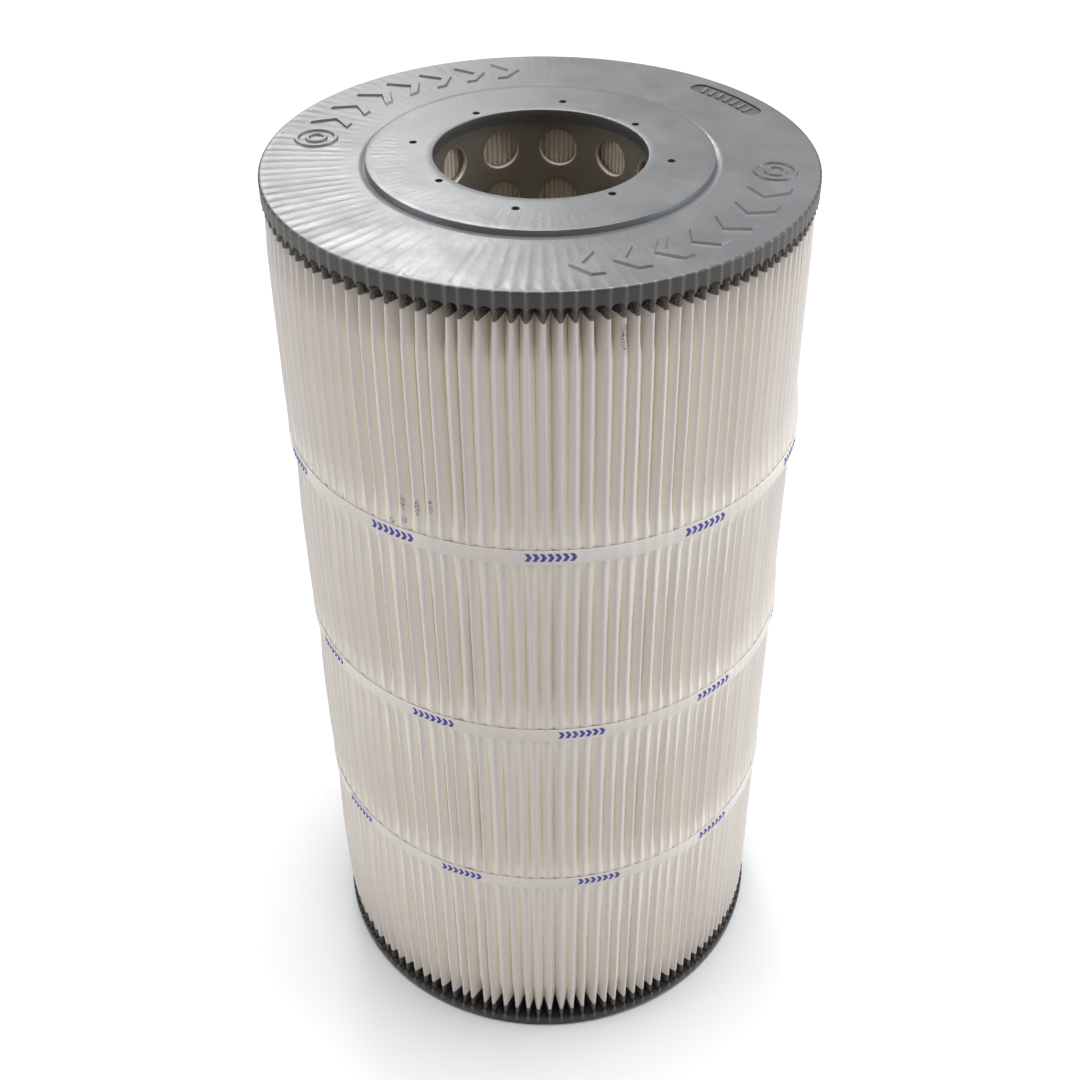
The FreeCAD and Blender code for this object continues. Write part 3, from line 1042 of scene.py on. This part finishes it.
def dress(piece, material):
    """Gives a piece its material."""
    piece.data.materials.clear()
    piece.data.materials.append(material)


# ---- the model ----------------------------------------------------------------------------
urethane = cast_urethane()
cloth = filter_cloth()
strap_material = strap_cloth()
ink = printed_ink()

media = make_media()
dress(media, cloth)
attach(media, "root")
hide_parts("pleated_media")

for name, face, up, under in (("top", TOP, 1, UPPER_POTTING), ("bottom", 0.0, -1, LOWER_POTTING)):
    mount = MOUNTS[name + "_bore"]
    rim_height = abs(face - under) - RAISED_HEIGHT
    bore_wall = abs(face - mount["pos_m"][2]) + mount["dims"]["length_mm"] / 2 * MM
    cap = make_cap(name + "_cap", face, up, rim_height, bore_wall)
    finish_cap(cap, face, up)
    dress(cap, urethane)
    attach(cap, "root")
    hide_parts(name + "_end_cap")

core = make_core()
dress(core, core_plastic())
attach(core, "root")
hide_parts("core_tube")

for seed, name in enumerate(BANDS):
    strap = make_strap(name, seed)
    dress(strap, strap_material)
    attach(strap, "root")
    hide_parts(name)
    marks = make_print(name)
    dress(marks, ink)
    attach(marks, "root")

seam = frame["nodes"]["media_side_seam"]
seam.data.materials.clear()
seam.data.materials.append(hot_melt())


# ---- studio -------------------------------------------------------------------------------
FLOOR_HALF = 8
FLOOR_LEVEL = -0.05 * MM        # just clear of the bottom cap's face
HALF_WAY = (0, 0, 0.3)          # where most of the lights are aimed
COOL = (0.88, 0.95, 1.0)
WORLD_COLOUR = (0.93, 0.95, 1.0, 1)
WORLD_STRENGTH = 0.178

# the camera, as fitted to the ellipses of the caps, the bore and the straps
CAMERA_ELEVATION = math.radians(39.03)
CAMERA_ROLL = 0.0069
CAMERA_TARGET = Vector((0.0174, 0, TOP / 2))
CAMERA_DISTANCE = 0.8358
CAMERA_LENS = 49.64             # mm, on a sensor 36 mm wide
CAMERA_SHIFT = (-0.0333, 0.0288)


def make_floor():
    square = ((-1, -1), (1, -1), (1, 1), (-1, 1))
    corners = [(FLOOR_HALF * x, FLOOR_HALF * y, FLOOR_LEVEL) for x, y in square]
    floor = new_object("floor", corners, [[0, 1, 2, 3]], sharp=None)
    floor.data.materials.append(pale_floor())


def area_light(name, place, target, size, power, colour=(1, 1, 1)):
    """A square light at a place, aimed at a target."""
    lamp = bpy.data.lights.new(name, "AREA")
    lamp.shape = "RECTANGLE"
    lamp.size = lamp.size_y = size
    lamp.energy = power
    lamp.color = colour
    light = bpy.data.objects.new(name, lamp)
    bpy.context.scene.collection.objects.link(light)
    light.location = place
    towards = Vector(target) - Vector(place)
    light.rotation_euler = towards.to_track_quat("-Z", "Y").to_euler()


def make_world():
    world = bpy.data.worlds.new("studio")
    world.use_nodes = True
    background = world.node_tree.nodes["Background"]
    background.inputs["Color"].default_value = WORLD_COLOUR
    background.inputs["Strength"].default_value = WORLD_STRENGTH
    bpy.context.scene.world = world


def make_camera():
    """The camera: straight in front, looking down, and turned a little about its own axis."""
    back = Vector((0, -math.cos(CAMERA_ELEVATION), math.sin(CAMERA_ELEVATION)))
    right = Vector((1, 0, 0))
    above = back.cross(right)
    turned_right = right * math.cos(CAMERA_ROLL) + above * math.sin(CAMERA_ROLL)
    turned_up = above * math.cos(CAMERA_ROLL) - right * math.sin(CAMERA_ROLL)
    lens = bpy.data.cameras.new("camera")
    lens.lens = CAMERA_LENS
    lens.sensor_width = 36
    lens.shift_x, lens.shift_y = CAMERA_SHIFT
    lens.clip_start = 0.05
    camera = bpy.data.objects.new("camera", lens)
    bpy.context.scene.collection.objects.link(camera)
    axes = Matrix((turned_right, turned_up, back)).transposed().to_4x4()
    camera.matrix_world = Matrix.Translation(CAMERA_TARGET + back * CAMERA_DISTANCE) @ axes
    bpy.context.scene.camera = camera


make_floor()
make_world()
area_light("overhead", (0.1, 0.25, 4.0), HALF_WAY, 2.4, 372)
area_light("back", (-0.43, 2.2, 1.96), (0, 0, TOP), 0.55, 17.5)
area_light("left", (-1.95, -0.2, 1.1), HALF_WAY, 1.2, 14, COOL)
area_light("right", (1.95, 0.0, 1.1), HALF_WAY, 1.2, 25, COOL)
make_camera()
bpy.context.scene.view_settings.view_transform = "Standard"
